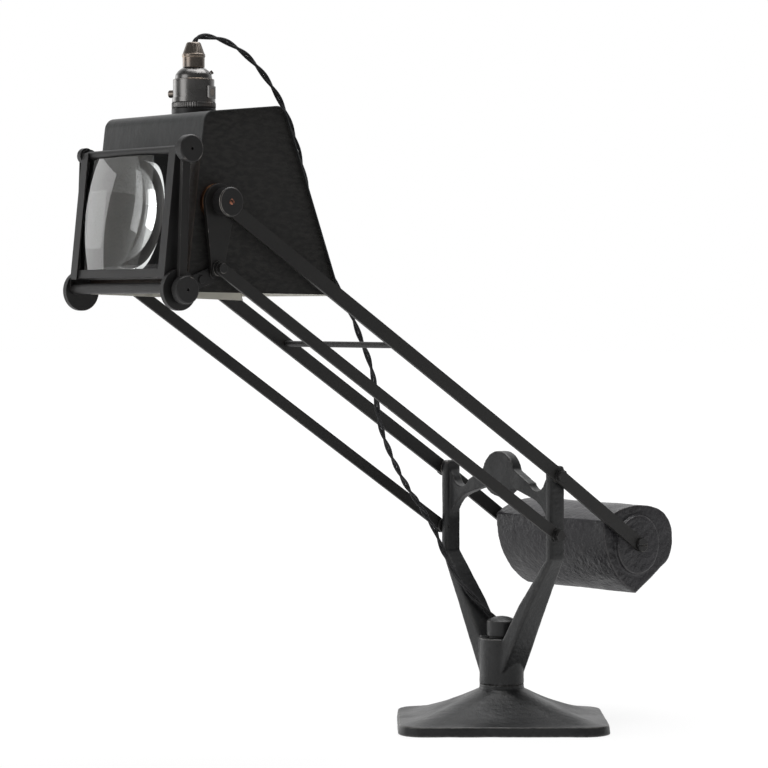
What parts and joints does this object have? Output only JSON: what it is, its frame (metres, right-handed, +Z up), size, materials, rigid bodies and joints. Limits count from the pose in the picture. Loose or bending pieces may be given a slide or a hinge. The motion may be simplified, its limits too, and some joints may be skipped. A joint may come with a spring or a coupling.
{
  "type": "magnifier lamp",
  "caption": "Counterbalanced desk lamp with a parallel-bar arm on a swivelling yoke, a sheet-metal shade and a hinged rectangular magnifying lens.",
  "frame": {"origin": "centre of the base's underside, on the yoke's swivel axis", "axes": "+Z up; +Y from the lamp head towards the counterweight; +X across the arms"},
  "size_m": [0.3214, 0.6522, 0.6484],
  "materials": {
    "base_iron": "worn black paint",
    "felt": "felt",
    "yoke_iron": "worn lacquer",
    "weight_iron": "rough cast",
    "bar_steel": "satin",
    "housing_steel": "clear-lacquered steel outside, cream paint inside",
    "hardware_steel": "satin",
    "brass": "aged",
    "lens": "polished",
    "bulb": "clear",
    "insulation": "matte",
    "cloth": "braided",
    "plug": "gloss"
  },
  "bodies": {
    "base": {"base_casting": "base_iron", "base_felt": "felt", "spindle": "hardware_steel", "thrust_washer": "hardware_steel", "spindle_cap": "base_iron", "cord_coil": "cloth", "cord_tail": "cloth", "plug_body": "plug", "plug_pins": "brass"},
    "yoke": {"yoke_casting": "yoke_iron", "arm_pivot_bolts": "hardware_steel", "arm_pivot_spacers": "hardware_steel", "cord_down_yoke": "cloth"},
    "upper_arm": {"upper_strip_right": "bar_steel", "upper_strip_left": "bar_steel", "cross_rod": "bar_steel", "counterweight": "weight_iron", "weight_screws": "hardware_steel", "cord_beside_arms": "cloth"},
    "lower_arm": {"lower_strip_right": "bar_steel", "lower_strip_left": "bar_steel"},
    "head_bracket": {"bracket_plate_right": "housing_steel", "bracket_plate_left": "housing_steel", "bracket_studs": "hardware_steel", "bracket_spacers": "hardware_steel", "cord_behind_head": "cloth"},
    "head": {"housing_wrapper": "housing_steel", "housing_side_right": "housing_steel", "housing_side_left": "housing_steel", "friction_discs": "brass", "head_pivot_bolts": "hardware_steel", "head_knobs": "hardware_steel", "lens_ear_right": "hardware_steel", "lens_ear_left": "hardware_steel", "ear_rivets": "hardware_steel", "lens_lower_bolts": "hardware_steel", "lens_lower_knob": "hardware_steel", "holder_gasket": "insulation", "holder_skirt": "brass", "shade_ring": "brass", "holder_body": "brass", "holder_insulator": "insulation", "contact_plungers": "brass", "holder_dome": "brass", "dome_screw": "hardware_steel", "cord_grip": "brass", "bulb_cap": "brass", "bulb_glass": "bulb", "cord_from_holder": "cloth"},
    "switch": {"switch_bar": "brass"},
    "lens_links": {"lens_link_right": "hardware_steel", "lens_link_left": "hardware_steel"},
    "lens_frame": {"frame_side_right": "hardware_steel", "frame_side_left": "hardware_steel", "frame_top_tube": "hardware_steel", "frame_bottom_tube": "hardware_steel", "frame_bottom_rail": "hardware_steel", "lens_glass": "lens", "lens_upper_bolts": "hardware_steel", "lens_upper_knob": "hardware_steel"}
  },
  "joints": [
    {"name": "base_swivel", "type": "hinge", "parent": "base", "child": "yoke", "pos_m": [0, 0, 0.042], "axis": [0, 0, 1], "range_deg": [-170, 170], "deforming": ["cord_down_yoke"]},
    {"name": "arm_lift", "type": "hinge", "parent": "yoke", "child": "upper_arm", "pos_m": [0, -0.002, 0.2465], "axis": [1, 0, 0], "range_deg": [-28, 48], "deforming": ["cord_beside_arms"]},
    {"name": "lower_arm_lift", "type": "hinge", "parent": "yoke", "child": "lower_arm", "pos_m": [0, -0.0049, 0.1903], "axis": [1, 0, 0], "range_deg": [-28, 48]},
    {"name": "head_level", "type": "hinge", "parent": "upper_arm", "child": "head_bracket", "pos_m": [0, -0.40038, 0.49399], "axis": [1, 0, 0], "range_deg": [-48, 28], "deforming": ["cord_behind_head"]},
    {"name": "head_tilt", "type": "hinge", "parent": "head_bracket", "child": "head", "pos_m": [0, -0.40038, 0.49399], "axis": [1, 0, 0], "range_deg": [-75, 17], "deforming": ["cord_from_holder"]},
    {"name": "switch_slide", "type": "slide", "parent": "head", "child": "switch", "axis": [0.9336, 0.3584, 0], "range_m": [0, 0.006]},
    {"name": "lens_swing", "type": "hinge", "parent": "head", "child": "lens_links", "pos_m": [0, -0.441, 0.4195], "axis": [1, 0, 0], "range_deg": [0, 135]},
    {"name": "lens_tilt", "type": "hinge", "parent": "lens_links", "child": "lens_frame", "pos_m": [0, -0.43621, 0.53798], "axis": [1, 0, 0], "range_deg": [-100, 3]}
  ],
  "couplings": [
    {"joint": "lower_arm_lift", "follows": "arm_lift", "ratio": 1},
    {"joint": "head_level", "follows": "arm_lift", "ratio": -1}
  ]
}
